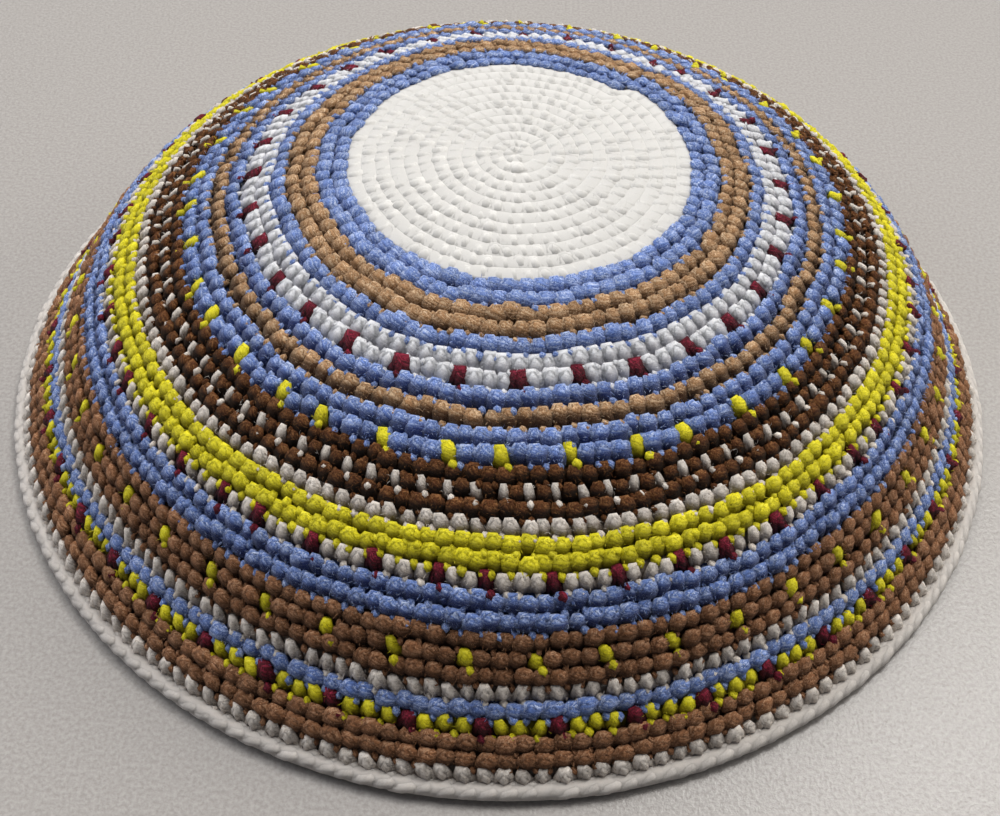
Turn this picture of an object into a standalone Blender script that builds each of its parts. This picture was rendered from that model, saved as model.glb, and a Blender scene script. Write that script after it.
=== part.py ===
"""Crocheted skullcap, rim down: a crown disc, rings of coloured yarn and a corded edge.

The fabric is worked in rounds from the middle of the crown outward. A line down the outer face
of the fabric is laid out round by round, and each run of one yarn is a ring turned about +Z from
its own stretch of that line. The origin is the middle of the rim, on the surface the cap rests on.
"""

import math
from collections import namedtuple

import bmesh
import bpy

# Driving dimensions, in metres
ROUND_HEIGHT = 0.00205     # one round of stitches, measured down the fabric
WALL = 0.0022              # thickness of the crocheted fabric
RIB_HEIGHT = 0.0005        # ridge of a round above the grooves beside it
BAND_GAP = 0.0003          # clearance between one yarn's ring and the next
FOOT_WIDTH = 0.0016        # flat underside of the edge cord
CORD_BULGE = 0.0003        # how far the edge cord swells past the fabric's outer face
CROWN_SHIFT_X = 0.0010     # the crown's middle is this far from above the rim's middle
CROWN_SHIFT_Y = 0.0020

# Counts
SEGMENTS = 44              # sides of each turned ring
CROWN_STEP = 3             # rounds between two rings of points on the crown disc

# Angles of the fabric below the horizontal are in degrees. A height is a share of ROUND_HEIGHT.
Band = namedtuple("Band", "name yarn rounds top_slope end_slope height")
BANDS = [
    Band("crown_disc", "white", 12, 0.0, 6.0, 0.91),
    Band("band_01_blue", "blue", 2, 5.0, 8.0, 0.99),
    Band("band_02_tan", "tan", 2, 12.5, 17.5, 1.00),
    Band("band_03_blue", "blue", 1, 21.0, 21.0, 1.09),
    Band("band_04_white", "white", 2, 22.5, 22.5, 1.03),
    Band("band_05_blue", "blue", 1, 22.0, 22.0, 1.12),
    Band("band_06_tan", "tan", 1, 23.5, 23.5, 1.15),
    Band("band_07_blue", "blue", 2, 25.5, 29.0, 1.09),
    Band("band_08_dark_brown", "dark_brown", 3, 31.5, 31.5, 0.95),
    Band("band_09_white", "white", 1, 33.0, 33.0, 0.86),
    Band("band_10_yellow", "yellow", 2, 35.5, 39.0, 0.95),
    Band("band_11_white", "white", 1, 42.5, 42.5, 1.03),
    Band("band_12_blue", "blue", 2, 46.0, 50.0, 1.09),
    Band("band_13_brown", "brown", 3, 55.0, 60.0, 1.07),
    Band("band_14_white", "grey_white", 1, 58.0, 58.0, 0.95),
    Band("band_15_blue", "blue", 1, 53.0, 53.0, 0.96),
    Band("band_16_yellow", "yellow", 1, 49.5, 49.5, 0.96),
    Band("band_17_brown", "brown", 2, 49.5, 53.0, 0.97),
    Band("band_18_white", "grey_white", 1, 58.5, 58.5, 0.98),
    Band("edge_cord", "grey_white", 1, 64.0, 64.0, 1.01),
]

# Cotton yarns: sRGB colour and roughness
Yarn = namedtuple("Yarn", "colour roughness")
YARNS = {
    "white": Yarn("E0DDD8", 0.85),
    "blue": Yarn("6486C8", 0.85),
    "tan": Yarn("B07E50", 0.85),
    "dark_brown": Yarn("4A2810", 0.85),
    "brown": Yarn("7A5235", 0.85),
    "yellow": Yarn("C8C81E", 0.75),
    "grey_white": Yarn("C9C0BA", 0.85),
}


def clear_scene():
    """Remove every object that the file opened with."""
    for thing in list(bpy.data.objects):
        bpy.data.objects.remove(thing, do_unlink=True)


def linear_colour(hex_colour):
    """Turn an sRGB hex colour into the linear RGBA that a shader takes."""
    shares = [int(hex_colour[i:i + 2], 16) / 255 for i in (0, 2, 4)]
    linear = [s / 12.92 if s <= 0.04045 else ((s + 0.055) / 1.055) ** 2.4 for s in shares]
    return (*linear, 1.0)


def yarn_material(band):
    """One Principled material for a band, in its yarn's colour."""
    yarn = YARNS[band.yarn]
    material = bpy.data.materials.new(band.name + "_yarn")
    material.use_nodes = True
    shader = material.node_tree.nodes["Principled BSDF"]
    shader.inputs["Base Color"].default_value = linear_colour(yarn.colour)
    shader.inputs["Roughness"].default_value = yarn.roughness
    shader.inputs["Metallic"].default_value = 0.0
    return material


def round_slopes():
    """The fabric's angle below the horizontal at each round, in radians, crown first."""
    slopes = []
    for band in BANDS:
        for i in range(band.rounds):
            share = i / (band.rounds - 1) if band.rounds > 1 else 0.0
            slopes.append(math.radians(band.top_slope + (band.end_slope - band.top_slope) * share))
    return slopes


def fabric_line(slopes):
    """(radius, height) on the outer face at the edge of each round, ending at the rim at height 0."""
    lengths = [band.height * ROUND_HEIGHT for band in BANDS for _ in range(band.rounds)]
    points = [(0.0, sum(n * math.sin(a) for n, a in zip(lengths, slopes)))]
    for length, slope in zip(lengths, slopes):
        radius, height = points[-1]
        points.append((radius + length * math.cos(slope), height - length * math.sin(slope)))
    return points


class Fabric:
    """The line down the outer face, with places beside it."""

    def __init__(self):
        self.slopes = round_slopes()
        self.points = fabric_line(self.slopes)

    def top(self):
        """Height of the crown's middle."""
        return self.points[0][1]

    def edge_slope(self, k):
        """Slope at the edge between round k - 1 and round k: level at the middle of the crown."""
        if k == 0:
            return 0.0
        if k == len(self.slopes):
            return self.slopes[-1]
        return (self.slopes[k - 1] + self.slopes[k]) / 2

    def beside_edge(self, k, down, out):
        """Edge k moved down the fabric and out along its normal."""
        slope = self.edge_slope(k)
        radius, height = self.points[k]
        return (radius + down * math.cos(slope) + out * math.sin(slope),
                height - down * math.sin(slope) + out * math.cos(slope))

    def ridge(self, k, out):
        """The middle of round k moved out along its normal."""
        (r0, h0), (r1, h1) = self.points[k], self.points[k + 1]
        slope = self.slopes[k]
        return ((r0 + r1) / 2 + out * math.sin(slope), (h0 + h1) / 2 + out * math.cos(slope))


def crown_section(fabric, end):
    """Closed section of the crown disc, which has no ribs: down its outer face and back inside."""
    inner_edges = list(range(CROWN_STEP, end, CROWN_STEP))
    outside = [fabric.beside_edge(k, 0.0, 0.0) for k in [0] + inner_edges]
    inside = [fabric.beside_edge(k, 0.0, -WALL) for k in [0] + inner_edges]
    outside.append(fabric.beside_edge(end, -BAND_GAP / 2, -RIB_HEIGHT / 2))
    inside.append(fabric.beside_edge(end, -BAND_GAP / 2, -WALL))
    return outside + inside[::-1]


def ring_section(fabric, start, end):
    """Closed section of one yarn's ring: a rib for each round outside, one plain face inside."""
    groove, crest = -RIB_HEIGHT / 2, RIB_HEIGHT / 2
    outside = [fabric.beside_edge(start, BAND_GAP / 2, groove)]
    for k in range(start, end):
        outside.append(fabric.ridge(k, crest))
        if k + 1 < end:
            outside.append(fabric.beside_edge(k + 1, 0.0, groove))
    outside.append(fabric.beside_edge(end, -BAND_GAP / 2, groove))
    inside = [fabric.beside_edge(start, BAND_GAP / 2, -WALL),
              fabric.beside_edge(end, -BAND_GAP / 2, -WALL)]
    return outside + inside[::-1]


def cord_section(fabric, start):
    """Closed section of the edge cord, with a flat foot at height 0."""
    rim_radius = fabric.points[-1][0]
    bulge_radius, bulge_height = fabric.ridge(start, CORD_BULGE)
    return [
        fabric.beside_edge(start, BAND_GAP / 2, -RIB_HEIGHT / 2),
        (bulge_radius, bulge_height),
        (rim_radius, 0.0),
        (rim_radius - FOOT_WIDTH, 0.0),
        fabric.beside_edge(start, BAND_GAP / 2, -WALL),
    ]


def turned_object(band, section, top):
    """Turn a closed section about +Z, lean it with the crown, and return the object."""
    bm = bmesh.new()
    verts = [bm.verts.new((radius, 0.0, height)) for radius, height in section]
    edges = [bm.edges.new((verts[i - 1], verts[i])) for i in range(len(verts))]
    axis_edges = [e for e in edges if all(v.co.x == 0.0 for v in e.verts)]
    bmesh.ops.delete(bm, geom=axis_edges, context="EDGES")
    outline = bm.verts[:] + bm.edges[:]
    bmesh.ops.spin(bm, geom=outline, cent=(0, 0, 0), axis=(0, 0, 1), angle=2 * math.pi,
                   steps=SEGMENTS, use_merge=False, use_duplicate=False)
    bmesh.ops.remove_doubles(bm, verts=bm.verts[:], dist=ROUND_HEIGHT / 1000)
    for vert in bm.verts:
        share = vert.co.z / top
        vert.co.x += CROWN_SHIFT_X * share
        vert.co.y += CROWN_SHIFT_Y * share
    bmesh.ops.recalc_face_normals(bm, faces=bm.faces[:])
    mesh = bpy.data.meshes.new(band.name)
    bm.to_mesh(mesh)
    bm.free()
    mesh.shade_smooth()
    mesh.set_sharp_from_angle(angle=math.radians(50))
    thing = bpy.data.objects.new(band.name, mesh)
    thing.data.materials.append(yarn_material(band))
    bpy.context.scene.collection.objects.link(thing)
    return thing


def build_cap():
    """Make every band in order, from the crown disc to the edge cord."""
    fabric = Fabric()
    last = len(BANDS) - 1
    start = 0
    for i, band in enumerate(BANDS):
        end = start + band.rounds
        if i == 0:
            section = crown_section(fabric, end)
        elif i == last:
            section = cord_section(fabric, start)
        else:
            section = ring_section(fabric, start, end)
        turned_object(band, section, fabric.top())
        start = end


clear_scene()
build_cap()
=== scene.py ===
"""Looks of a crocheted kippah skullcap: every stitch in plied cotton, round by round.

The cap is worked in single crochet on one long spiral, from the middle of the crown outward. Each
stitch is an arch of yarn that opens towards the rim, and the front loop on its head shows as a
small bead between the stitches of the next round. Places on the cap are given by a round
coordinate, which counts rounds from the crown's middle, an angle about +Z and a distance out of
the fabric's outer face.
"""

import logging
import math
from dataclasses import dataclass, field
from enum import Enum
from typing import Any

import bpy
import numpy as np
from mathutils import Matrix, Vector


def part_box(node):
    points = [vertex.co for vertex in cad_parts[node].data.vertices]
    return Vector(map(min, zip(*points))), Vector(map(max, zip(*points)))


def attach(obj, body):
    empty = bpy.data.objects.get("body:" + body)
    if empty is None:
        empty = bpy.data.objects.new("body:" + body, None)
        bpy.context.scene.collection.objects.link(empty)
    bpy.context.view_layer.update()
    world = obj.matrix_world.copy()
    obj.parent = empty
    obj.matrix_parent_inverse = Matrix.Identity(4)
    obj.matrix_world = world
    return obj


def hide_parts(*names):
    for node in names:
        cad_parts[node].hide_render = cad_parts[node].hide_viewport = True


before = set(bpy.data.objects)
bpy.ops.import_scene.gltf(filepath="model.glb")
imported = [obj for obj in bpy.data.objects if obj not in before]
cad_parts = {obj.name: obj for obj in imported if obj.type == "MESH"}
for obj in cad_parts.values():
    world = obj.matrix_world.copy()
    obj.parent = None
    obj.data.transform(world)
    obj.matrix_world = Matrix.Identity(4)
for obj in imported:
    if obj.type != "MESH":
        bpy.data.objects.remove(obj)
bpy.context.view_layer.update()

LOG = logging.getLogger("kippah")
MM = 0.001
ROOT = "root"
LAY_ATTRIBUTE = "yarn_lay"
TINT_ATTRIBUTE = "stitch_tint"
PAINTED_LIGHT_ATTRIBUTE = "painted_light"
# Painted light is 0, the full painted shade colour, at this many yarn radii down in the fabric, and 1
# at the range above that. The top of the yarn's section is painted lighter than its sides by the crest,
# so the sides take painted shade.
PAINTED_LIGHT_DEPTH = 0.9
PAINTED_LIGHT_RANGE = 2.6
PAINTED_LIGHT_CREST = 0.6


def linear(hex_colour: str) -> tuple[float, float, float, float]:
    """Turn an sRGB hex colour into linear RGBA.

    Args:
        hex_colour: six hex digits, such as "E0DDD8".

    Returns:
        Red, green and blue as linear shares, and an alpha of 1.
    """
    shares = [int(hex_colour[i:i + 2], 16) / 255 for i in (0, 2, 4)]
    light = [s / 12.92 if s <= 0.04045 else ((s + 0.055) / 1.055) ** 2.4 for s in shares]
    return (light[0], light[1], light[2], 1.0)


def add_node(tree: bpy.types.NodeTree, kind: str, settings: dict[str, Any] | None = None,
             inputs: dict[int | str, Any] | None = None) -> bpy.types.Node:
    """Add a node, set its properties and fill or link its inputs.

    Args:
        tree: the node tree to add to.
        kind: the node's type name.
        settings: property names and their values.
        inputs: input names or numbers, each with a value or the output socket to link from.

    Returns:
        The new node.
    """
    node = tree.nodes.new(kind)
    for name, value in (settings or {}).items():
        setattr(node, name, value)
    for key, value in (inputs or {}).items():
        if isinstance(value, bpy.types.NodeSocket):
            tree.links.new(value, node.inputs[key])
        else:
            node.inputs[key].default_value = value
    return node


@dataclass(frozen=True)
class CottonYarn:
    """Cotton yarn, spun soft or gassed smooth, plied and then crocheted.

    The eye reads it by its slanting plies, the finer strands in each ply, a pale bloom of loose
    fibre in short streaks, laid on the lit parts as a painted highlight, painted shade down in the
    stitches, in the grooves between plies and on each stitch's foot, and small changes of tone
    from one stitch to the next.
    """

    slot: str
    body: str
    # shade is the painted shade colour; bloom is the pale fibre colour, also laid as a painted highlight
    shade: str
    bloom_highlight: str
    bloom_highlight_share: float
    roughness: float
    sheen: float
    fuzz: float
    evenness: float = 0.8
    finish: str = "plied_crocheted"
    plies: int = 6
    lay_mm: float = 2.4
    ply_height_mm: float = 0.11
    # How dark the grooves between plies are painted, as painted shade
    ply_shade: float = 0.3
    strands_in_ply: float = 3.4
    mottle_mm: float = 0.24
    scatter: float = 0.0
    scatter_mm: float = 0.8

    def material(self) -> bpy.types.Material:
        """Build the yarn's procedural material.

        Returns:
            The material, made once and found by its name after that.
        """
        name = f"{self.slot}_{self.finish}"
        found = bpy.data.materials.get(name)
        if found is not None:
            return found
        made = bpy.data.materials.new(name)
        made.use_nodes = True
        tree = made.node_tree
        shader = tree.nodes["Principled BSDF"]
        tint = add_node(tree, "ShaderNodeAttribute", {"attribute_name": TINT_ATTRIBUTE}).outputs["Fac"]
        # How lit each point is painted: 0 takes the painted shade colour
        painted_light = add_node(tree, "ShaderNodeAttribute", {"attribute_name": PAINTED_LIGHT_ATTRIBUTE}).outputs["Fac"]
        mottle = self._mottle(tree)
        plies, along = self._plies(tree, mottle)
        half_turn = add_node(tree, "ShaderNodeMath", {"operation": "MULTIPLY"},
                             {0: plies, 1: math.pi}).outputs[0]
        wave = add_node(tree, "ShaderNodeMath", {"operation": "COSINE"}, {0: half_turn}).outputs[0]
        crest = add_node(tree, "ShaderNodeMath", {"operation": "ABSOLUTE"}, {0: wave}).outputs[0]
        strands = self._strands(tree, plies, along, tint)
        loose = add_node(tree, "ShaderNodeMath", {"operation": "ADD"}, {0: strands, 1: mottle}).outputs[0]
        # Painted shade in the grooves between plies, as deep as ply_shade; the crests keep full colour
        groove_shade = add_node(tree, "ShaderNodeMapRange", {},
                        {0: crest, 3: 1.0 - self.ply_shade, 4: 1.0}).outputs[0]
        tufted = add_node(tree, "ShaderNodeMapRange", {},
                          {0: loose, 1: 0.72, 2: 1.02, 3: 0.4, 4: 1.0}).outputs[0]
        # Painted light: groove shade, the painted-light attribute and fibre noise set how far the body goes
        # to the shade colour
        light = add_node(tree, "ShaderNodeMath", {"operation": "MULTIPLY"}, {0: groove_shade, 1: painted_light}).outputs[0]
        light = add_node(tree, "ShaderNodeMath", {"operation": "MULTIPLY"}, {0: light, 1: tufted}).outputs[0]
        lit = add_node(tree, "ShaderNodeMapRange", {},
                       {0: light, 1: 0.03, 2: 0.62, 3: 0.0, 4: 1.0}).outputs[0]
        body = add_node(tree, "ShaderNodeMix", {"data_type": "RGBA"},
                        {0: lit, 6: linear(self.shade), 7: linear(self.body)}).outputs[2]
        # Pale streaks of loose fibre, laid only where painted light is high: fibre colour, partly a painted
        # highlight
        bloom_highlight = add_node(tree, "ShaderNodeMapRange", {}, {0: loose, 1: 1.0, 2: 1.18, 3: 0.0,
                                                          4: self.bloom_highlight_share}).outputs[0]
        bloom_highlight = add_node(tree, "ShaderNodeMath", {"operation": "MULTIPLY"}, {0: bloom_highlight, 1: painted_light}).outputs[0]
        bloom_highlighted = add_node(tree, "ShaderNodeMix", {"data_type": "RGBA"},
                           {0: bloom_highlight, 6: body, 7: linear(self.bloom_highlight)}).outputs[2]
        level = add_node(tree, "ShaderNodeMapRange", {},
                         {0: tint, 1: 0.0, 2: 1.0, 3: self.evenness, 4: 1.12}).outputs[0]
        tinted = add_node(tree, "ShaderNodeHueSaturation", {}, {"Value": level, "Color": bloom_highlighted}).outputs[0]
        tree.links.new(tinted, shader.inputs["Base Color"])
        height = add_node(tree, "ShaderNodeMath", {"operation": "MULTIPLY_ADD"},
                          {0: crest, 1: 0.3, 2: loose}).outputs[0]
        bump = add_node(tree, "ShaderNodeBump", {}, {"Strength": 1.0, "Distance": self.ply_height_mm * MM,
                                                     "Height": height})
        tree.links.new(bump.outputs[0], shader.inputs["Normal"])
        shader.inputs["Roughness"].default_value = self.roughness
        shader.inputs["Sheen Weight"].default_value = self.sheen
        shader.inputs["Sheen Roughness"].default_value = 0.5
        shader.inputs["Sheen Tint"].default_value = linear(self.bloom_highlight)
        shader.inputs["Specular IOR Level"].default_value = 0.3
        shader.inputs["Subsurface Weight"].default_value = self.scatter
        shader.inputs["Subsurface Radius"].default_value = (1.0, 0.95, 0.9)
        shader.inputs["Subsurface Scale"].default_value = self.scatter_mm * MM
        return made

    def _plies(self, tree: bpy.types.NodeTree,
               mottle: bpy.types.NodeSocket) -> tuple[bpy.types.NodeSocket, bpy.types.NodeSocket]:
        """Count plies round the twisted yarn, and give the length along it.

        Args:
            tree: the material's node tree.
            mottle: tufts of loose fibre, which push the plies aside.

        Returns:
            The count, which grows by one from ply to ply, and the length in millimetres.
        """
        lay = add_node(tree, "ShaderNodeAttribute", {"attribute_name": LAY_ATTRIBUTE}).outputs["Vector"]
        parts = add_node(tree, "ShaderNodeSeparateXYZ", {}, {0: lay}).outputs
        turn = add_node(tree, "ShaderNodeMath", {"operation": "ARCTAN2"},
                        {0: parts[1], 1: parts[0]}).outputs[0]
        pushed = add_node(tree, "ShaderNodeMath", {"operation": "MULTIPLY"}, {0: mottle, 1: 2.0}).outputs[0]
        along = add_node(tree, "ShaderNodeMath", {"operation": "MULTIPLY_ADD"},
                         {0: parts[2], 1: self.plies / self.lay_mm, 2: pushed}).outputs[0]
        count = add_node(tree, "ShaderNodeMath", {"operation": "MULTIPLY_ADD"},
                         {0: turn, 1: self.plies / (2 * math.pi), 2: along}).outputs[0]
        return count, parts[2]

    def _strands(self, tree: bpy.types.NodeTree, plies: bpy.types.NodeSocket, along: bpy.types.NodeSocket,
                 tint: bpy.types.NodeSocket) -> bpy.types.NodeSocket:
        """Strands that run along each ply, drawn about 0.15 mm wide, the finest that still shows.

        Args:
            tree: the material's node tree.
            plies: the count of plies round the yarn.
            along: the length along the yarn in millimetres.
            tint: the stitch's own number, which makes each stitch's strands differ.

        Returns:
            The socket that carries the strands, from 0 to 1.
        """
        across = add_node(tree, "ShaderNodeMath", {"operation": "MULTIPLY"},
                          {0: plies, 1: self.strands_in_ply}).outputs[0]
        own = add_node(tree, "ShaderNodeMath", {"operation": "MULTIPLY"}, {0: tint, 1: 60.0}).outputs[0]
        place = add_node(tree, "ShaderNodeCombineXYZ", {}, {0: across, 1: along, 2: own}).outputs[0]
        noise = add_node(tree, "ShaderNodeTexNoise", {}, {"Vector": place, "Scale": 1.0, "Detail": 3.0,
                                                          "Roughness": 0.6}).outputs["Fac"]
        return add_node(tree, "ShaderNodeMapRange", {"clamp": False}, {0: noise, 3: -0.2, 4: 1.2}).outputs[0]

    def _mottle(self, tree: bpy.types.NodeTree) -> bpy.types.NodeSocket:
        """Tufts of loose fibre that lie over the plies.

        Args:
            tree: the material's node tree.

        Returns:
            The socket that carries the tufts, from 0 to 1.
        """
        place = add_node(tree, "ShaderNodeTexCoord").outputs["Object"]
        noise = add_node(tree, "ShaderNodeTexNoise", {}, {"Vector": place, "Scale": 1 / (self.mottle_mm * MM),
                                                          "Detail": 4.0, "Roughness": 0.7})
        return noise.outputs["Fac"]


class Yarn(Enum):
    """The yarns that the cap is worked in."""

    # In each yarn the second colour is the painted shade and the third the fibre bloom, partly a painted
    # highlight
    CROWN_WHITE = CottonYarn("white_cotton", "C8C6C2", "BDBBB7", "D0CECA", 0.4, 0.85, 0.0, 0.25,
                             evenness=0.97, finish="worked_tight_washed_flat", ply_height_mm=0.012,
                             ply_shade=0.06)
    WHITE = CottonYarn("white_cotton", "D5D5D8", "A2A1A8", "E6E5E6", 0.6, 0.8, 0.1, 0.5, evenness=0.96,
                       ply_height_mm=0.05, ply_shade=0.15, scatter=0.6)
    BLUE = CottonYarn("blue_cotton", "6885C8", "182A66", "D2DEF6", 1.0, 0.85, 0.45, 1.8)
    TAN = CottonYarn("tan_cotton", "AA8058", "42240E", "E8CEAC", 0.95, 0.85, 0.3, 1.3)
    DARK_BROWN = CottonYarn("dark_brown_cotton", "583014", "080200", "B08050", 0.6, 0.8, 0.1, 1.1)
    BROWN = CottonYarn("brown_cotton", "8E6040", "221005", "CCA280", 0.75, 0.85, 0.2, 1.2)
    YELLOW = CottonYarn("yellow_cotton", "DACE16", "605806", "F4EC58", 0.5, 0.6, 0.05, 0.4,
                        ply_height_mm=0.06)
    # The whites of the sides and of the rim look the same and differ only in their slot
    SIDE_WHITE = CottonYarn("white_cotton", "DFD4C8", "78685A", "F0E8E0", 0.6, 0.75, 0.15, 0.6,
                            finish="plied_crocheted_worn", ply_height_mm=0.07, scatter=0.3)
    RIM_WHITE = CottonYarn("grey_white_cotton", "DFD4C8", "78685A", "F0E8E0", 0.6, 0.75, 0.15, 0.6,
                           ply_height_mm=0.07, scatter=0.3)
    EDGE_WHITE = CottonYarn("grey_white_cotton", "C2BBB4", "B0A9A2", "CCC6C0", 0.4, 0.75, 0.1, 0.4,
                            evenness=0.97, finish="chained_worn_smooth", ply_height_mm=0.02,
                            ply_shade=0.06, scatter=0.3)
    BURGUNDY = CottonYarn("burgundy_cotton", "58081A", "0C0103", "B83050", 0.7, 0.6, 0.0, 0.6)


@dataclass(frozen=True)
class StitchShape:
    """How a stitch differs from the plain one.

    spread says how far its head fills the round, from -0.6 for a tooth with a narrow top to 0.9 for
    heads that press on each other, bulk how wide and thick it is, stretch how tall, and shade how
    strongly its foot is painted dark, as painted shade under the next round.
    """

    spread: float = 0.0
    bulk: float = 1.0
    stretch: float = 1.0
    shade: float = 1.0


@dataclass(frozen=True)
class Marks:
    """Contrast stitches worked into one round: one stitch of another yarn, then the round's own.

    cycle is the number of stitches from each mark to the next, repeated round the cap, and through
    is the angle in degrees of one mark near the front.
    """

    round_in_band: int
    yarn: Yarn
    cycle: tuple[int, ...]
    through: float
    shape: StitchShape


@dataclass(frozen=True)
class Band:
    """One run of one yarn: its CAD node, stitch counts, slopes in degrees and round height.

    relief says how far its stitches stand out, packing how near the yarn between the two sides comes
    to the face, and beads how big its front loops are.
    """

    node: str
    yarn: Yarn
    counts: tuple[int, ...]
    top_slope: float
    end_slope: float
    height: float
    shape: StitchShape
    marks: Marks | None = None
    relief: float = 1.2
    packing: float = 0.0
    beads: float = 1.0


CROWN_INCREASE = 6
CROWN_ROUNDS = 12
SEAM_DEGREES = 50.0
BANDS = (
    Band("crown_disc", Yarn.CROWN_WHITE, tuple(CROWN_INCREASE * (i + 1) for i in range(CROWN_ROUNDS)),
         0.0, 6.0, 0.91, StitchShape(0.8), relief=0.12, packing=0.95, beads=0.85),
    Band("band_01_blue", Yarn.BLUE, (78, 84), 5.0, 8.0, 0.99, StitchShape(0.9, shade=0.6)),
    Band("band_02_tan", Yarn.TAN, (91, 98), 12.5, 17.5, 1.00, StitchShape(0.8, shade=0.8)),
    Band("band_03_blue", Yarn.BLUE, (106,), 21.0, 21.0, 1.09, StitchShape(0.9)),
    Band("band_04_white", Yarn.WHITE, (116, 126), 22.5, 22.5, 1.03, StitchShape(0.6),
         Marks(1, Yarn.BURGUNDY, (4,), 271.9, StitchShape(-0.6, 1.2, 1.25)), relief=0.9, packing=0.5),
    Band("band_05_blue", Yarn.BLUE, (128,), 22.0, 22.0, 1.12, StitchShape(0.9, shade=1.8)),
    Band("band_06_tan", Yarn.TAN, (130,), 23.5, 23.5, 1.15, StitchShape(0.7, shade=1.8)),
    Band("band_07_blue", Yarn.BLUE, (134, 138), 25.5, 29.0, 1.09, StitchShape(0.8, shade=1.9),
         Marks(1, Yarn.YELLOW, (4, 4, 3), 269.4, StitchShape(0.2, 0.92, 1.2, 0.6))),
    Band("band_08_dark_brown", Yarn.DARK_BROWN, (148, 194, 156), 31.5, 31.5, 0.95,
         StitchShape(0.5, shade=1.8),
         Marks(1, Yarn.SIDE_WHITE, (2,), 269.8, StitchShape(-0.1, 0.82, 1.05, 0.6)), beads=0.85),
    Band("band_09_white", Yarn.SIDE_WHITE, (162,), 33.0, 33.0, 0.86, StitchShape(0.1, 0.95)),
    Band("band_10_yellow", Yarn.YELLOW, (170, 178), 35.5, 39.0, 0.95, StitchShape(0.9), beads=1.3),
    Band("band_11_white", Yarn.SIDE_WHITE, (184,), 42.5, 42.5, 1.03, StitchShape(-0.1, 0.95, 1.0, 0.7),
         Marks(0, Yarn.BURGUNDY, (4, 4, 4, 3), 268.6, StitchShape(-0.6, 1.22, 1.4, 1.4))),
    Band("band_12_blue", Yarn.BLUE, (186, 188), 46.0, 50.0, 1.09, StitchShape(0.9, shade=2.4), beads=1.1),
    Band("band_13_brown", Yarn.BROWN, (188, 188, 188), 55.0, 60.0, 1.07, StitchShape(0.7, shade=1.2),
         Marks(1, Yarn.YELLOW, (4,), 266.7, StitchShape(0.0, 0.97, 1.15, 0.6)), beads=0.8),
    Band("band_14_white", Yarn.RIM_WHITE, (188,), 58.0, 58.0, 0.95, StitchShape(-0.5, 0.95, 1.2, 0.4)),
    Band("band_15_blue", Yarn.BLUE, (187,), 53.0, 53.0, 0.96, StitchShape(0.9), beads=1.1),
    Band("band_16_yellow", Yarn.YELLOW, (186,), 49.5, 49.5, 0.96, StitchShape(-0.3, 0.93, 1.1, 0.7),
         Marks(0, Yarn.BURGUNDY, (4,), 269.2, StitchShape(-0.5, 1.2, 1.25, 1.4))),
    Band("band_17_brown", Yarn.BROWN, (186, 186), 49.5, 53.0, 0.97, StitchShape(0.8), beads=0.8),
    Band("band_18_white", Yarn.RIM_WHITE, (186,), 58.5, 58.5, 0.98, StitchShape(-0.45, 1.08, 1.2, 0.1)),
)
EDGE = Band("edge_cord", Yarn.EDGE_WHITE, (186,), 64.0, 64.0, 1.01, StitchShape())


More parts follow.
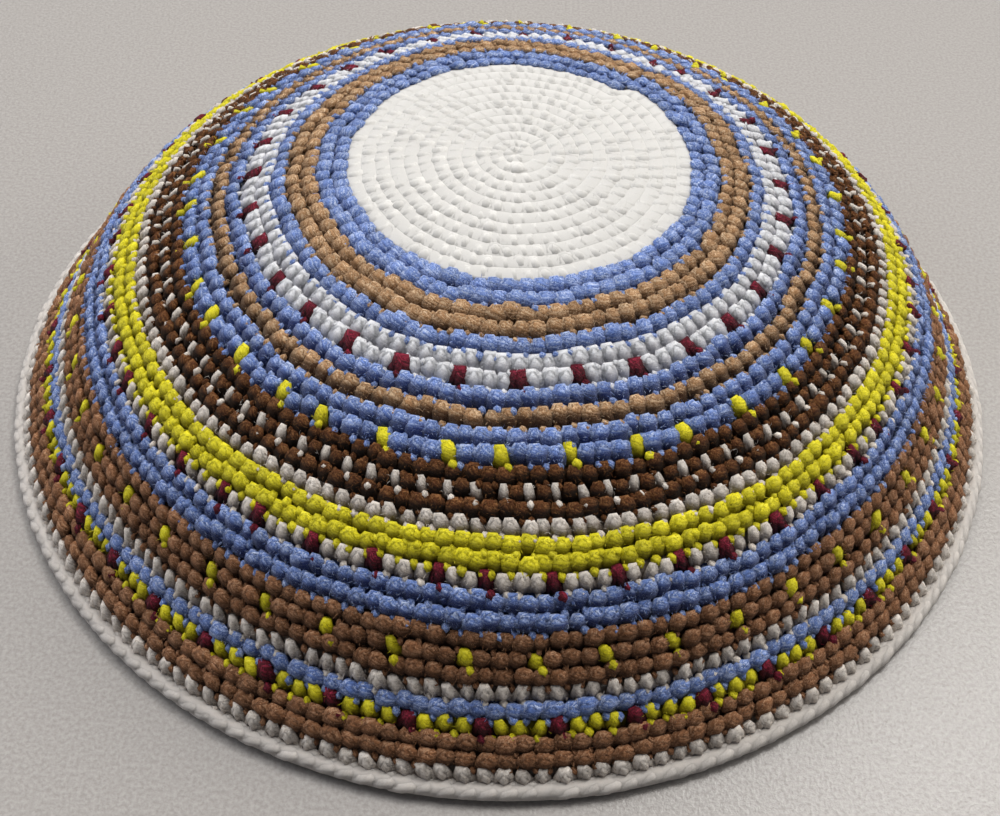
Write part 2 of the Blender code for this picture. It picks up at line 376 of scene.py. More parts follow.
@dataclass
class Dome:
    """The outer face of the fabric, from the CAD's box and the rounds' slopes and heights."""

    rim_radius: float
    crown_shift: tuple[float, float]
    crown_height: float
    spiral_fade: float = 10.0
    sway: float = 0.10
    still_share: float = 0.3
    radii: np.ndarray = field(init=False)
    heights: np.ndarray = field(init=False)
    slopes: np.ndarray = field(init=False)
    round_height: float = field(init=False)
    lean: np.ndarray = field(init=False)

    def __post_init__(self) -> None:
        """Lay the rounds out from the crown to the rim."""
        slopes, shares = [], []
        for band in (*BANDS, EDGE):
            rounds = len(band.counts)
            for i in range(rounds):
                step = i / (rounds - 1) if rounds > 1 else 0.0
                slopes.append(math.radians(band.top_slope + (band.end_slope - band.top_slope) * step))
                shares.append(band.height)
        slope, share = np.array(slopes), np.array(shares)
        self.round_height = self.rim_radius / float(np.sum(share * np.cos(slope)))
        across = np.concatenate([[0.0], np.cumsum(share * np.cos(slope))]) * self.round_height
        drop = np.concatenate([[0.0], np.cumsum(share * np.sin(slope))]) * self.round_height
        self.radii = across
        self.heights = drop[-1] - drop
        self.slopes = np.concatenate([[0.0], (slope[:-1] + slope[1:]) / 2, [slope[-1]]])
        self.lean = np.array(self.crown_shift) / self.crown_height

    @classmethod
    def from_frame(cls) -> "Dome":
        """Read the rim's radius and the crown's lean from the CAD nodes."""
        low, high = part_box(EDGE.node)
        crown_low, crown_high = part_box(BANDS[0].node)
        middle = (crown_low + crown_high) / 2
        return cls((high.x - low.x) / 2, (middle.x, middle.y), middle.z)

    def rounds(self) -> int:
        """How many rounds the cap has, with the edge cord."""
        return len(self.radii) - 1

    def spiral(self, first: int, share: np.ndarray, down: np.ndarray) -> np.ndarray:
        """Round coordinate of places in a round, on the spiral that the rounds are worked on.

        Hand work doesn't run true, so each round also sways a little up and down, though not in the
        middle of the crown, where the rings are small and even.

        Args:
            first: the round, counted from 0 at the crown's middle.
            share: how far round the turn each place is, from the seam.
            down: how far down the round each place is, as a share of its height.

        Returns:
            The round coordinate of each place.
        """
        level = first + down
        fade = np.clip((self.rounds() - level) / self.spiral_fade, 0.0, 1.0) * np.clip(level / 2, 0.0, 1.0)
        turn = 2 * math.pi * share
        sway = self.sway * (np.sin(5 * turn + 0.8 + 0.15 * level) + 0.7 * np.sin(13 * turn + 0.45 * level))
        sway = sway * np.clip(level / CROWN_ROUNDS - self.still_share, 0.0, 1.0)
        return np.clip(level + fade * (share - 0.5 + sway), 0.0, self.rounds() + 1.0)

    def place(self, angle: np.ndarray, level: np.ndarray, out: np.ndarray) -> np.ndarray:
        """Points at angles, round coordinates and distances out of the fabric's outer face.

        Args:
            angle: angle about +Z in radians.
            level: round coordinate.
            out: distance along the outward normal, in metres.

        Returns:
            The points, with x, y and z in the last axis.
        """
        steps = np.arange(len(self.radii))
        slope = np.interp(level, steps, self.slopes)
        over = np.maximum(level - steps[-1], 0.0) * self.round_height
        radius = np.interp(level, steps, self.radii) + out * np.sin(slope) + over * np.cos(slope)
        height = np.interp(level, steps, self.heights) + out * np.cos(slope) - over * np.sin(slope)
        return np.stack([radius * np.cos(angle) + self.lean[0] * height,
                         radius * np.sin(angle) + self.lean[1] * height, height], axis=-1)

    def normal(self, angle: np.ndarray, level: np.ndarray) -> np.ndarray:
        """Outward normals of the fabric.

        Args:
            angle: angle about +Z in radians.
            level: round coordinate.

        Returns:
            Unit vectors, with x, y and z in the last axis.
        """
        slope = np.interp(level, np.arange(len(self.slopes)), self.slopes)
        return np.stack([np.sin(slope) * np.cos(angle), np.sin(slope) * np.sin(angle),
                         np.cos(slope) * np.ones_like(angle)], axis=-1)


@dataclass
class YarnMesh:
    """Collects lengths of yarn, each a closed spindle or tube, and makes one piece of them."""

    vertices: list[np.ndarray] = field(default_factory=list)
    lays: list[np.ndarray] = field(default_factory=list)
    tints: list[np.ndarray] = field(default_factory=list)
    painted_lights: list[np.ndarray] = field(default_factory=list)
    faces: list[list[int]] = field(default_factory=list)
    total: int = 0

    def add_lengths(self, paths: np.ndarray, normals: np.ndarray, girths: np.ndarray, reaches: np.ndarray,
                    sides: int, tints: np.ndarray, flatness: float = 1.0) -> None:
        """Add lengths of yarn that run from a point to a point.

        Args:
            paths: centre points, as (lengths, points, 3).
            normals: the fabric's normals at those points, in the same shape.
            girths: the yarn's radius at each point, as (lengths, points).
            reaches: how far out of the fabric each point is, in radii of the yarn, less the painted shade
            on the stitch's foot; it sets how lit each point is painted.
            sides: sides of the yarn's section.
            tints: shade of each length, from 0 to 1.
            flatness: how many times wider than high the section is.
        """
        count, points, _ = paths.shape
        if count == 0:
            return
        along = np.gradient(paths, axis=1)
        along /= np.linalg.norm(along, axis=2, keepdims=True) + 1e-12
        up = normals - np.sum(normals * along, axis=2, keepdims=True) * along
        up /= np.linalg.norm(up, axis=2, keepdims=True) + 1e-9
        side = np.cross(along, up)
        turn = 2 * math.pi * np.arange(sides) / sides
        rings = (paths[:, 1:-1, None, :]
                 + girths[:, 1:-1, None, None] * (np.cos(turn)[None, None, :, None] * up[:, 1:-1, None, :]
                                                  + flatness * np.sin(turn)[None, None, :, None]
                                                  * side[:, 1:-1, None, :]))
        body = rings.reshape(count, -1, 3)
        verts = np.concatenate([paths[:, :1], body, paths[:, -1:]], axis=1)
        run = np.concatenate([np.zeros((count, 1)),
                              np.cumsum(np.linalg.norm(np.diff(paths, axis=1), axis=2), axis=1)], axis=1) / MM
        lay = np.zeros((count, verts.shape[1], 3))
        lay[:, 0, 0] = lay[:, -1, 0] = 1.0
        lay[:, 1:-1, 0] = np.tile(np.cos(turn), points - 2)
        lay[:, 1:-1, 1] = np.tile(np.sin(turn), points - 2)
        lay[:, 0, 2] = run[:, 0]
        lay[:, -1, 2] = run[:, -1]
        lay[:, 1:-1, 2] = np.repeat(run[:, 1:-1], sides, axis=1)
        size = verts.shape[1]
        # Painted light and shade: deep points and the sides of each section are painted darker, the top
        # lighter
        painted_light = np.zeros((count, size))
        painted_light[:, 1:-1] = (reaches[:, 1:-1, None] + PAINTED_LIGHT_CREST * np.cos(turn)[None, None, :]).reshape(count, -1)
        painted_light[:, 0] = reaches[:, 0]
        painted_light[:, -1] = reaches[:, -1]
        self.painted_lights.append(np.clip((painted_light + PAINTED_LIGHT_DEPTH) / PAINTED_LIGHT_RANGE, 0.0, 1.0).ravel())
        pattern = self._spindle_faces(points - 2, sides, size)
        starts = self.total + size * np.arange(count)
        for corners in pattern:
            self.faces.extend((starts[:, None] + np.array(corners)[None, :]).tolist())
        self.vertices.append(verts.reshape(-1, 3))
        self.lays.append(lay.reshape(-1, 3))
        self.tints.append(np.repeat(tints, size))
        self.total += count * size

    @staticmethod
    def _spindle_faces(rings: int, sides: int, size: int) -> list[tuple[int, ...]]:
        """Faces of a tube that closes to a point at both ends.

        Args:
            rings: rings of points between the two ends.
            sides: points in a ring.
            size: points in all, the two ends with them.

        Returns:
            The faces, as numbers of the points of one length.
        """
        faces: list[tuple[int, ...]] = []
        for j in range(sides):
            after = (j + 1) % sides
            faces.append((0, 1 + j, 1 + after))
            last = 1 + (rings - 1) * sides
            faces.append((size - 1, last + after, last + j))
            for i in range(rings - 1):
                a, b = 1 + i * sides, 1 + (i + 1) * sides
                faces.append((a + j, b + j, b + after, a + after))
        return faces

    def add_fibres(self, roots: np.ndarray, bends: np.ndarray, tips: np.ndarray,
                   across: np.ndarray, tints: np.ndarray) -> None:
        """Add loose fibres, each a thin bent blade.

        Args:
            roots: where each fibre leaves the yarn, as (fibres, 3).
            bends: where it bends.
            tips: where it ends.
            across: half its width as a vector.
            tints: shade of each fibre.
        """
        count = len(roots)
        if count == 0:
            return
        verts = np.stack([roots - across, roots + across, bends - across, bends + across, tips], axis=1)
        starts = self.total + 5 * np.arange(count)
        for corners in ((0, 1, 3, 2), (2, 3, 4)):
            self.faces.extend((starts[:, None] + np.array(corners)[None, :]).tolist())
        lay = np.zeros((count * 5, 3))
        lay[:, 0] = 1.0
        self.vertices.append(verts.reshape(-1, 3))
        self.lays.append(lay)
        self.painted_lights.append(np.ones(count * 5))
        self.tints.append(np.repeat(tints, 5))
        self.total += count * 5

    def add_hoop(self, rings: np.ndarray, tint: float, painted_light: float) -> None:
        """Add a closed hoop whose section is a loop of points.

        Args:
            rings: the section's points at each step round the cap, as (steps, points, 3).
            tint: the hoop's tone.
            painted_light: how lit it is painted, from 0 in painted shade to 1.
        """
        steps, points, _ = rings.shape
        for i in range(steps):
            here, there = self.total + i * points, self.total + ((i + 1) % steps) * points
            for j in range(points):
                after = (j + 1) % points
                self.faces.append([here + j, here + after, there + after, there + j])
        self.vertices.append(rings.reshape(-1, 3))
        lay = np.zeros((steps * points, 3))
        lay[:, 0] = 1.0
        self.lays.append(lay)
        self.painted_lights.append(np.full(steps * points, painted_light))
        self.tints.append(np.full(steps * points, tint))
        self.total += steps * points

    def piece(self, name: str, yarn: CottonYarn, nodes: tuple[str, ...] = ()) -> None:
        """Make the piece, dress it and tie it to the frame.

        Args:
            name: the piece's name.
            yarn: the yarn that it is worked in.
            nodes: the CAD nodes that it stands for.
        """
        points = np.concatenate(self.vertices)
        # Yarn that touches the surface is pressed flat on it
        points[:, 2] = np.maximum(points[:, 2], 0.0)
        mesh = bpy.data.meshes.new(name)
        mesh.from_pydata(points.tolist(), [], self.faces, shade_flat=False)
        lay = mesh.attributes.new(LAY_ATTRIBUTE, "FLOAT_VECTOR", "POINT")
        lay.data.foreach_set("vector", np.concatenate(self.lays).astype(np.float32).ravel())
        tint = mesh.attributes.new(TINT_ATTRIBUTE, "FLOAT", "POINT")
        tint.data.foreach_set("value", np.concatenate(self.tints).astype(np.float32))
        # How lit each point is painted, read by the material to mix in its painted shade
        painted_light = mesh.attributes.new(PAINTED_LIGHT_ATTRIBUTE, "FLOAT", "POINT")
        painted_light.data.foreach_set("value", np.concatenate(self.painted_lights).astype(np.float32))
        mesh.update()
        made = bpy.data.objects.new(name, mesh)
        mesh.materials.append(yarn.material())
        bpy.context.scene.collection.objects.link(made)
        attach(made, ROOT)
        if nodes:
            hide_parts(*nodes)
        triangles = sum(len(face) - 2 for face in self.faces)
        LOG.info("%s: %d faces, %d triangles", name, len(self.faces), triangles)


@dataclass
class StitchRound:
    """One round of single crochet: how many stitches, where they stand and which are marked."""

    index: int
    band: Band
    marks: Marks | None
    count: int
    phase: float = field(init=False, default=0.0)
    marked: np.ndarray = field(init=False)

    def __post_init__(self) -> None:
        """Chart the marks, with one of them at its angle near the front.

        The stitches of the crown's rounds are staggered, so that no line of them runs outward.
        """
        self.marked = np.zeros(self.count, dtype=bool)
        if self.marks is None:
            self.phase = 0.37 * self.index % 1 - 0.5 if self.index < CROWN_ROUNDS else 0.0
            return
        turn = (self.marks.through - SEAM_DEGREES) % 360 / 360 * self.count - 0.5
        chosen = int(round(turn))
        self.phase = turn - chosen
        self.marked[chosen] = True
        for way in (1, -1):
            stitch, step = chosen, 0 if way == 1 else -1
            while True:
                stitch += way * self.marks.cycle[step % len(self.marks.cycle)]
                step += way
                if not 0 <= stitch < self.count:
                    break
                self.marked[stitch] = True

    def shares(self) -> np.ndarray:
        """How far round the turn each stitch stands, from the seam."""
        return (np.arange(self.count) + 0.5 + self.phase) / self.count

    def loop_shares(self) -> np.ndarray:
        """How far round the turn the gap to the right of each stitch is."""
        return (np.arange(self.count) + 1.0 + self.phase) / self.count


@dataclass
class CrochetFabric:
    """The rounds of single crochet from the crown to the edge cord, in yarn of one thickness."""

    dome: Dome
    yarn_radius: float = 0.50 * MM
    loop_radius: float = 0.44 * MM
    face_depth: float = 0.70 * MM
    loop_depth: float = 0.62 * MM
    loop_sink: float = 0.14 * MM
    core_depth: float = 1.0 * MM
    wall: float = 2.2 * MM
    stitch_width: float = 2.0 * MM
    girth_limits: tuple[float, float] = (0.75, 1.12)
    stretch_middle: float = 0.55
    slant: float = 0.16
    # Painted shade on the lower part of each stitch: from foot_top down over foot_height, as strong as
    # foot_shade
    foot_top: float = 0.24
    foot_height: float = 0.7
    foot_shade: float = 3.2
    belly_flatness: float = 1.4
    belly_spread: float = 0.85
    packed_flatness: float = 0.9
    marked_bead: float = 1.15
    bead_shift: float = 0.41
    bead_rise: float = 0.28 * MM
    owner_shift: float = 0.2
    sides: int = 5
    loop_sides: int = 5
    wrong_sides: int = 4
    core_steps: int = 88
    core_rise: float = 0.86
    core_back: float = 1.2
    # The core, seen in the gaps, is painted dark as shade: a lowish tint and little painted light, more when
    # packed
    core_tint: float = 0.3
    core_painted_light: tuple[float, float] = (0.15, 0.8)
    fibre_length: float = 0.55 * MM
    fibre_width: float = 0.045 * MM
    fibres_per_stitch: float = 8.0
    stray: tuple[float, ...] = (0.07, 0.07, 0.13, 0.08, 0.9)
    seed: int = 11
    rounds: list[StitchRound] = field(init=False)
    random: np.random.Generator = field(init=False)

    # The arch of a stitch, from its left foot over its head to its right foot. Across is a share
    # of the stitch's width, down a share of the round's height, out a share of the yarn's radius.
    ARCH = np.array([
        (-0.42, 1.26, -2.10, 0.90),
        (-0.39, 0.84, -0.38, 1.04),
        (-0.25, 0.44, 0.46, 0.96),
        (-0.07, 0.14, 0.86, 1.02),
        (0.07, 0.14, 0.86, 1.02),
        (0.25, 0.44, 0.46, 0.96),
        (0.39, 0.84, -0.38, 1.04),
        (0.42, 1.26, -2.10, 0.90),
    ])
    # The yarn drawn through between the two legs, which fills the arch and lies flush with it
    BELLY = np.array([
        (0.00, -0.02, -0.20, 0.70),
        (0.01, 0.24, 0.84, 1.10),
        (0.03, 0.56, 0.62, 1.28),
        (0.05, 0.92, -0.35, 1.22),
        (0.05, 1.26, -2.00, 0.80),
    ])
    # The front loop, which shows as a bead between the heads of two stitches of the next round
    LOOP = np.array([
        (-0.20, 0.90, -0.90, 0.70),
        (-0.18, 1.03, 0.20, 1.00),
        (-0.16, 1.15, 0.55, 1.12),
        (-0.14, 1.27, 0.20, 1.00),
        (-0.12, 1.40, -0.90, 0.70),
    ])
    # The bar and the knot of a stitch on the wrong side. Out is measured inward from the inner face.
    BAR = np.array([
        (-0.62, 0.70, -1.0, 0.9),
        (-0.30, 0.78, 0.2, 1.0),
        (0.05, 0.80, 0.4, 1.0),
        (0.35, 0.76, 0.1, 1.0),
        (0.62, 0.66, -1.0, 0.9),
    ])
    KNOT = np.array([
        (-0.22, 0.02, -1.0, 0.8),
        (-0.10, 0.28, 0.1, 1.0),
        (0.10, 0.44, 0.1, 1.0),
        (0.24, 0.62, -1.0, 0.8),
    ])

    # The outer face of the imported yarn: down as a share of the round's height, and dip in mm. Where
    # it comes near the face it is a low rib, and elsewhere no one sees it.
    RIB = ((-0.12, 0.13), (0.08, 0.06), (0.30, 0.01), (0.50, 0.00), (0.70, 0.01), (0.92, 0.06), (1.12, 0.13))
    FLAT = ((0.02, 0.0), (0.98, 0.0))

    def __post_init__(self) -> None:
        """List the rounds in the order that they are worked."""
        self.random = np.random.default_rng(self.seed)
        self.rounds = []
        for band in (*BANDS, EDGE):
            for i, count in enumerate(band.counts):
                marks = band.marks if band.marks and band.marks.round_in_band == i else None
                self.rounds.append(StitchRound(len(self.rounds), band, marks, count))

    def angles(self, share: np.ndarray) -> np.ndarray:
        """Angles about +Z in radians at shares of a turn from the seam."""
        return math.radians(SEAM_DEGREES) + 2 * math.pi * share

    def strays(self, count: int) -> np.ndarray:
        """Draw how far each stitch strays from its table: across, down, out, girth and lean."""
        return self.random.normal(0.0, 1.0, (count, 5)) * np.array(self.stray)

    def lengths(self, at: StitchRound, shares: np.ndarray, table: np.ndarray, radius: float, base: float,
                facing: float, stray: np.ndarray,
                shape: StitchShape) -> tuple[np.ndarray, np.ndarray, np.ndarray, np.ndarray]:
        """Lay a length of yarn of one shape at each of several stitches.

        Args:
            at: the round that the stitches belong to.
            shares: where the stitches stand, as shares of a turn.
            table: the shape, a row for each point: across, down, out and girth.
            radius: the yarn's radius.
            base: where out is measured from, as a distance out of the outer face.
            facing: 1 on the right side of the fabric, -1 on the wrong side.
            stray: how far each stitch strays from the table.
            shape: how the stitches differ from the plain one.

        Returns:
            The paths, the fabric's normals there, the yarn's radius at each point and how far out of
            the fabric each point is, in radii, less where painted shade darkens the stitch's foot.
        """
        width = 1.0 / at.count
        relief = at.band.relief if facing > 0 else 1.0
        fill = 1 + shape.spread * np.clip(1 - table[None, :, 1], 0.0, 1.0)
        across = shape.bulk * table[None, :, 0] * fill * (1 + stray[:, 3:4]) + stray[:, 0:1]
        middle = self.stretch_middle
        down = middle + (table[None, :, 1] - middle) * shape.stretch + stray[:, 1:2]
        lean = self.slant * (down - 0.5) * (1 + stray[:, 4:5] * relief)
        share = shares[:, None] + (across + lean) * width
        angle = self.angles(share)
        level = self.dome.spiral(at.index, share, down)
        reach = table[None, :, 2] * relief + stray[:, 2:3] * relief
        out = base + facing * radius * reach
        pitch = 2 * math.pi * self.dome.radii[at.index + 1] * width
        fit = np.clip(pitch / self.stitch_width, *self.girth_limits)
        girth = shape.bulk * radius * fit * table[None, :, 3] * (1 + stray[:, 3:4])
        # Painted shade: the stitch's foot is painted darker, as shade under the next round; the front loops
        # are not
        foot = np.clip(table[None, :, 1] - self.foot_top, 0.0, self.foot_height)
        painted_shade_reach = reach if table is self.LOOP else reach - self.foot_shade * shape.shade * foot
        return (self.dome.place(angle, level, out), facing * self.dome.normal(angle, level),
                np.broadcast_to(girth, angle.shape), painted_shade_reach)

    def add_right_side(self, mesh: YarnMesh, at: StitchRound, chosen: np.ndarray, shape: StitchShape) -> None:
        """Add the arches of the chosen stitches, each with the yarn that fills it.

        Args:
            mesh: the piece they go into.
            at: the round.
            chosen: which of the round's stitches.
            shape: how they differ from the plain stitch.
        """
        shares = at.shares()[chosen]
        stray = self.strays(len(shares))
        tints = self.random.random(len(shares))
        arch = 1.0 + self.packed_flatness * at.band.packing
        belly = self.belly_flatness + self.belly_spread * shape.spread
        for table, flatness in ((self.ARCH, arch), (self.BELLY, belly)):
            laid = self.lengths(at, shares, table, self.yarn_radius, -self.face_depth, 1, stray, shape)
            mesh.add_lengths(*laid, self.sides, tints, flatness)

    def add_front_loops(self, mesh: YarnMesh, at: StitchRound, marked: bool) -> None:
        """Add the front loops that show between the stitches of the next round.

        Args:
            mesh: the piece they go into.
            at: the round whose loops they are.
            marked: whether to add the loops of the marked stitches or of the others.
        """
        depth = self.loop_depth + self.loop_sink * at.band.packing
        if marked:
            chosen = at.shares()[at.marked] + self.bead_shift / at.count
            bulk = self.marked_bead
            depth -= self.bead_rise
        else:
            shares = self.rounds[at.index + 1].loop_shares()
            turn = shares * at.count - 0.5 - at.phase - self.owner_shift
            owner = np.clip(np.round(turn).astype(int), 0, at.count - 1)
            chosen = shares[~at.marked[owner]]
            bulk = at.band.beads
        laid = self.lengths(at, chosen, self.LOOP, self.loop_radius, -depth, 1, self.strays(len(chosen)),
                            StitchShape(bulk=bulk))
        mesh.add_lengths(*laid, self.loop_sides, self.random.random(len(chosen)))

    def add_wrong_side(self, mesh: YarnMesh, at: StitchRound) -> None:
        """Add the bars and knots that show inside the cap.

        Args:
            mesh: the piece they go into.
            at: the round.
        """
        base = -self.wall + self.yarn_radius
        for table in (self.BAR, self.KNOT):
            laid = self.lengths(at, at.shares(), table, self.yarn_radius, base, -1, self.strays(at.count),
                                StitchShape())
            mesh.add_lengths(*laid, self.wrong_sides, self.random.random(at.count))

    def add_core(self, mesh: YarnMesh, at: StitchRound) -> None:
        """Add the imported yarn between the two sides, which closes the round against light.

        Args:
            mesh: the piece it goes into.
            at: the round.
        """
        share = np.arange(self.core_steps) / self.core_steps
        angle = self.angles(share)
        packing = at.band.packing
        outer = -self.core_depth * (1 - self.core_rise * packing)
        inner = -self.wall + self.core_back * self.yarn_radius
        face = self.RIB if packing else self.FLAT
        section = [(down, outer - dip * MM) for down, dip in face] + [(0.98, inner), (0.02, inner)]
        ring = [self.dome.place(angle, self.dome.spiral(at.index, share, np.full_like(share, down)), out)
                for down, out in section]
        # Painted shade: the core is painted dark in the gaps, less so where packing brings it near the face
        loose_painted_light, packed_painted_light = self.core_painted_light
        mesh.add_hoop(np.stack(ring, axis=1), self.core_tint, loose_painted_light + packed_painted_light * packing)

    def add_fuzz(self, mesh: YarnMesh, at: StitchRound, yarn: CottonYarn, chosen: np.ndarray) -> None:
        """Add the loose fibres that stand off soft cotton.

        Args:
            mesh: the piece they go into.
            at: the round.
            yarn: the yarn, which says how hairy it is.
            chosen: which of the round's stitches.
        """
        stitches = at.shares()[chosen]
        count = int(len(stitches) * self.fibres_per_stitch * yarn.fuzz)
        if count == 0:
            return
        draw = self.random
        share = stitches[draw.integers(0, len(stitches), count)] + draw.uniform(-0.5, 0.5, count) / at.count
        level = self.dome.spiral(at.index, share, draw.uniform(0.1, 0.9, count))
        angle = self.angles(share)
        root = self.dome.place(angle, level, np.full(count, -0.05 * MM))
        normal = self.dome.normal(angle, level)
        sideways = draw.normal(0.0, 1.0, (count, 3))
        sideways -= np.sum(sideways * normal, axis=1, keepdims=True) * normal
        sideways /= np.linalg.norm(sideways, axis=1, keepdims=True)
        length = self.fibre_length * draw.uniform(0.5, 1.4, (count, 1))
        bend = root + length * (0.5 * normal + 0.35 * sideways)
        tip = bend + length * (-0.05 * normal + 0.5 * sideways)
        across = np.cross(normal, sideways) * self.fibre_width / 2
        mesh.add_fibres(root, bend, tip, across, draw.random(count))

    def build_band(self, band: Band) -> None:
        """Build the piece of one yarn's rounds, and a piece for the marks worked into it.

        Args:
            band: the run of yarn.
        """
        mesh = YarnMesh()
        for at in (r for r in self.rounds if r.band is band):
            own = ~at.marked
            self.add_core(mesh, at)
            self.add_right_side(mesh, at, own, band.shape)
            self.add_front_loops(mesh, at, False)
            self.add_wrong_side(mesh, at)
            self.add_fuzz(mesh, at, band.yarn.value, own)
            if at.marks is not None:
                dots = YarnMesh()
                self.add_right_side(dots, at, at.marked, at.marks.shape)
                self.add_front_loops(dots, at, True)
                self.add_fuzz(dots, at, at.marks.yarn.value, at.marked)
                dots.piece(f"{band.node}_marks", at.marks.yarn.value)
        mesh.piece(f"{band.node}_stitches", band.yarn.value, (band.node,))


@dataclass
class EdgeCord:
    """The round of slip stitch that finishes the rim: a chain of slanting links on a soft core."""

    fabric: CrochetFabric
    link_radius: float = 0.62 * MM
    core_radius: float = 1.12 * MM
    core_sides: int = 10
    core_squash: float = 0.9
    core_tint: float = 0.5
    bulge: float = 0.5 * MM
    lift: float = 0.42
    link_sides: int = 8
    link_stray: float = 0.04
    # How lit the cord's core and links are painted, the same for both
    painted_light: float = 0.8
    # A link, which slants up the cord. Across is a share of a stitch, up and out shares of the core.
    LINK = np.array([
        (-1.10, -0.22, 0.10, 0.80),
        (-0.55, -0.20, 0.36, 1.08),
        (0.00, 0.08, 0.46, 1.20),
        (0.55, 0.36, 0.36, 1.08),
        (1.10, 0.42, 0.10, 0.80),
    ])

    def middle(self) -> tuple[float, float]:
        """Radius and height of the cord's middle, so that its underside is on the surface."""
        reach = self.core_radius * self.LINK[:, 2].max() + self.link_radius * self.LINK[:, 3].max()
        radius = self.fabric.dome.rim_radius + self.bulge - reach
        return radius, self.core_radius * self.lift + self.link_radius

    def build(self) -> None:
        """Build the cord as one piece."""
        at = self.fabric.rounds[-1]
        mesh = YarnMesh()
        radius, height = self.middle()
        turn = 2 * math.pi * np.arange(self.core_sides) / self.core_sides
        angle = self.fabric.angles(np.arange(at.count * 2) / (at.count * 2))
        section_radius = radius + self.core_radius * np.cos(turn)
        section_height = height + self.core_radius * self.core_squash * np.sin(turn)
        rings = np.stack([section_radius[None, :] * np.cos(angle)[:, None],
                          section_radius[None, :] * np.sin(angle)[:, None],
                          np.broadcast_to(section_height, (len(angle), self.core_sides))], axis=-1)
        mesh.add_hoop(rings[:, ::-1], self.core_tint, self.painted_light)
        for side in (1, -1):
            self._add_links(mesh, at, side)
        mesh.piece(f"{EDGE.node}_chain", EDGE.yarn.value, (EDGE.node,))

    def _add_links(self, mesh: YarnMesh, at: StitchRound, side: int) -> None:
        """Add the links that show on one side of the rim.

        Args:
            mesh: the piece.
            at: the round of slip stitch.
            side: 1 outside the rim, -1 inside it.
        """
        table = self.LINK
        random = self.fabric.random
        radius, height = self.middle()
        stray = random.normal(0.0, self.link_stray, (at.count, 3))
        share = at.shares()[:, None] + (table[None, :, 0] + stray[:, 0:1]) / at.count
        angle = self.fabric.angles(share)
        reach = radius + side * self.core_radius * (table[None, :, 2] + stray[:, 1:2])
        lift = height + self.core_radius * (table[None, :, 1] + stray[:, 2:3])
        lift = np.maximum(lift, self.link_radius)
        path = np.stack([reach * np.cos(angle), reach * np.sin(angle), lift], axis=-1)
        normal = side * np.stack([np.cos(angle), np.sin(angle), np.zeros_like(angle)], axis=-1)
        girth = np.broadcast_to(self.link_radius * table[None, :, 3], angle.shape)
        reaches = np.full(angle.shape, self.painted_light)
        mesh.add_lengths(path, normal, girth, reaches, self.link_sides, random.random(at.count))


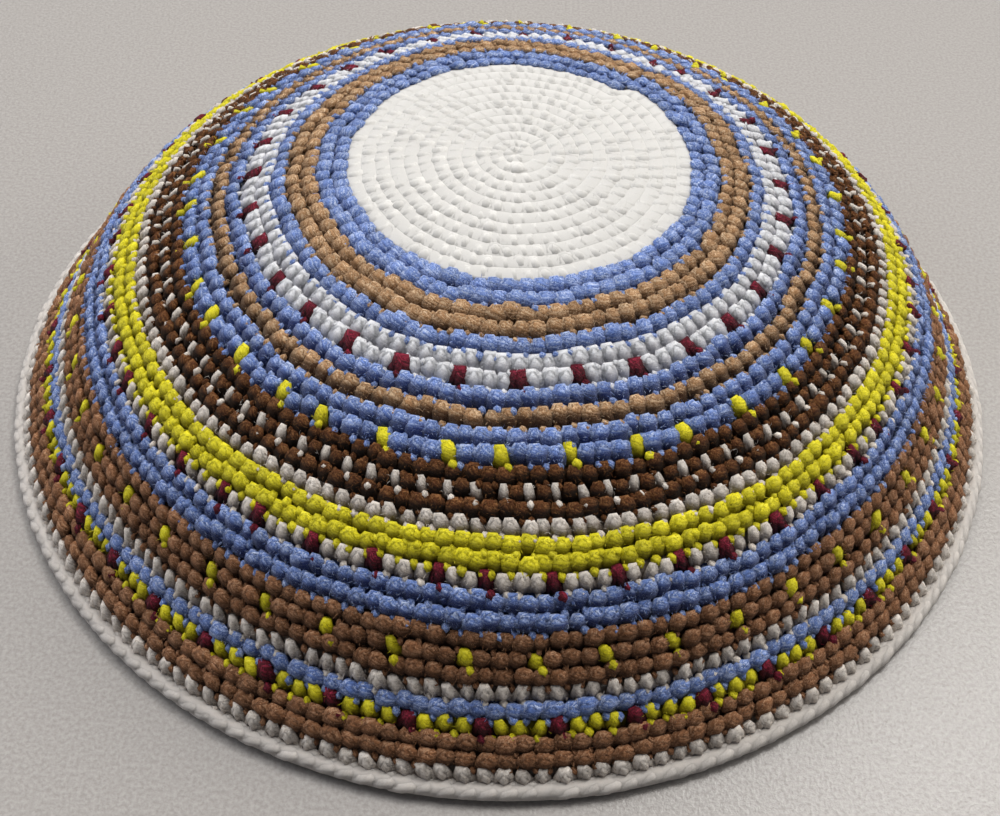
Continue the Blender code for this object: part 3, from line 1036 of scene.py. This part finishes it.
@dataclass
class Studio:
    """The pale surface, the soft light and the camera at the photograph's angle."""

    camera_place: tuple[float, float, float] = (0.0, -134.12 * MM, 142.41 * MM)
    pitch_degrees: float = 48.925
    roll_degrees: float = 2.072
    lens_mm: float = 46.69
    floor_half: float = 1.2
    floor_hex: str = "97928E"
    fleck_hex: str = "A9A5A1"
    fleck_mm: float = 0.5

    def build(self) -> None:
        """Set the floor, the lights and the camera."""
        bpy.context.scene.view_settings.view_transform = "Standard"
        self._floor()
        self._light("ceiling_panels", (0.0, 0.84, 1.18), 1.8, 28.5, "FFFDFA", glossy=False)
        self._light("ceiling_lamp", (0.50, 0.54, 1.2), 0.3, 6.0, "FFFDFA")
        self._light("window_left", (-1.1, 0.35, 0.6), 0.7, 6.5, "F4F7FF")
        self._light("window_right", (1.1, 0.35, 0.6), 0.7, 6.0, "FFFCF6")
        world = bpy.data.worlds.new("room")
        world.use_nodes = True
        background = world.node_tree.nodes["Background"]
        background.inputs["Color"].default_value = linear("E4E8F2")
        background.inputs["Strength"].default_value = 0.15
        bpy.context.scene.world = world
        self._camera()

    def _light(self, name: str, place: tuple[float, float, float], size: float, power: float,
               colour: str, glossy: bool = True) -> None:
        """Add a soft square light that faces the cap.

        Args:
            name: the light's name.
            place: where it stands, in metres.
            size: its side, in metres.
            power: its power in watts.
            colour: its colour as sRGB hex.
            glossy: whether it shows as glare on the floor.
        """
        lamp = bpy.data.lights.new(name, "AREA")
        lamp.size = size
        lamp.energy = power
        lamp.color = linear(colour)[:3]
        made = bpy.data.objects.new(name, lamp)
        made.location = place
        made.rotation_euler = (-Vector(place)).to_track_quat("-Z", "Y").to_euler()
        made.visible_glossy = glossy
        bpy.context.scene.collection.objects.link(made)

    def _floor(self) -> None:
        """Add the pale laminate that the cap lies on, with its fine speckle."""
        mesh = bpy.data.meshes.new("floor")
        half = self.floor_half
        corners = [(-half, -half, 0), (half, -half, 0), (half, half, 0), (-half, half, 0)]
        mesh.from_pydata(corners, [], [(0, 1, 2, 3)])
        made = bpy.data.objects.new("floor", mesh)
        bpy.context.scene.collection.objects.link(made)
        material = bpy.data.materials.new("pale_laminate_textured")
        material.use_nodes = True
        tree = material.node_tree
        shader = tree.nodes["Principled BSDF"]
        place = add_node(tree, "ShaderNodeTexCoord").outputs["Object"]
        grain = add_node(tree, "ShaderNodeTexNoise", {}, {"Vector": place, "Scale": 1 / (self.fleck_mm * MM),
                                                          "Detail": 3.0, "Roughness": 0.6}).outputs["Fac"]
        fleck = add_node(tree, "ShaderNodeMapRange", {}, {0: grain, 1: 0.35, 2: 0.65}).outputs[0]
        colour = add_node(tree, "ShaderNodeMix", {"data_type": "RGBA"},
                          {0: fleck, 6: linear(self.floor_hex), 7: linear(self.fleck_hex)}).outputs[2]
        tree.links.new(colour, shader.inputs["Base Color"])
        bump = add_node(tree, "ShaderNodeBump", {}, {"Strength": 0.6, "Distance": 0.12 * MM, "Height": grain})
        tree.links.new(bump.outputs[0], shader.inputs["Normal"])
        shader.inputs["Roughness"].default_value = 0.28
        mesh.materials.append(material)

    def _camera(self) -> None:
        """Add the camera."""
        data = bpy.data.cameras.new("photo_camera")
        data.lens = self.lens_mm
        data.clip_start = 0.01
        made = bpy.data.objects.new("photo_camera", data)
        pitch = math.radians(self.pitch_degrees)
        look = Matrix.Rotation(math.pi / 2 - pitch, 4, "X")
        roll = Matrix.Rotation(math.radians(self.roll_degrees), 4, "Z")
        made.matrix_world = Matrix.Translation(self.camera_place) @ look @ roll
        bpy.context.scene.collection.objects.link(made)
        bpy.context.scene.camera = made


def main() -> None:
    """Build the cap from the crown outward, then the studio."""
    logging.basicConfig(level=logging.INFO, format="%(name)s: %(message)s")
    dome = Dome.from_frame()
    fabric = CrochetFabric(dome)
    for band in BANDS:
        fabric.build_band(band)
    EdgeCord(fabric).build()
    Studio().build()


if __name__ == "__main__":
    main()
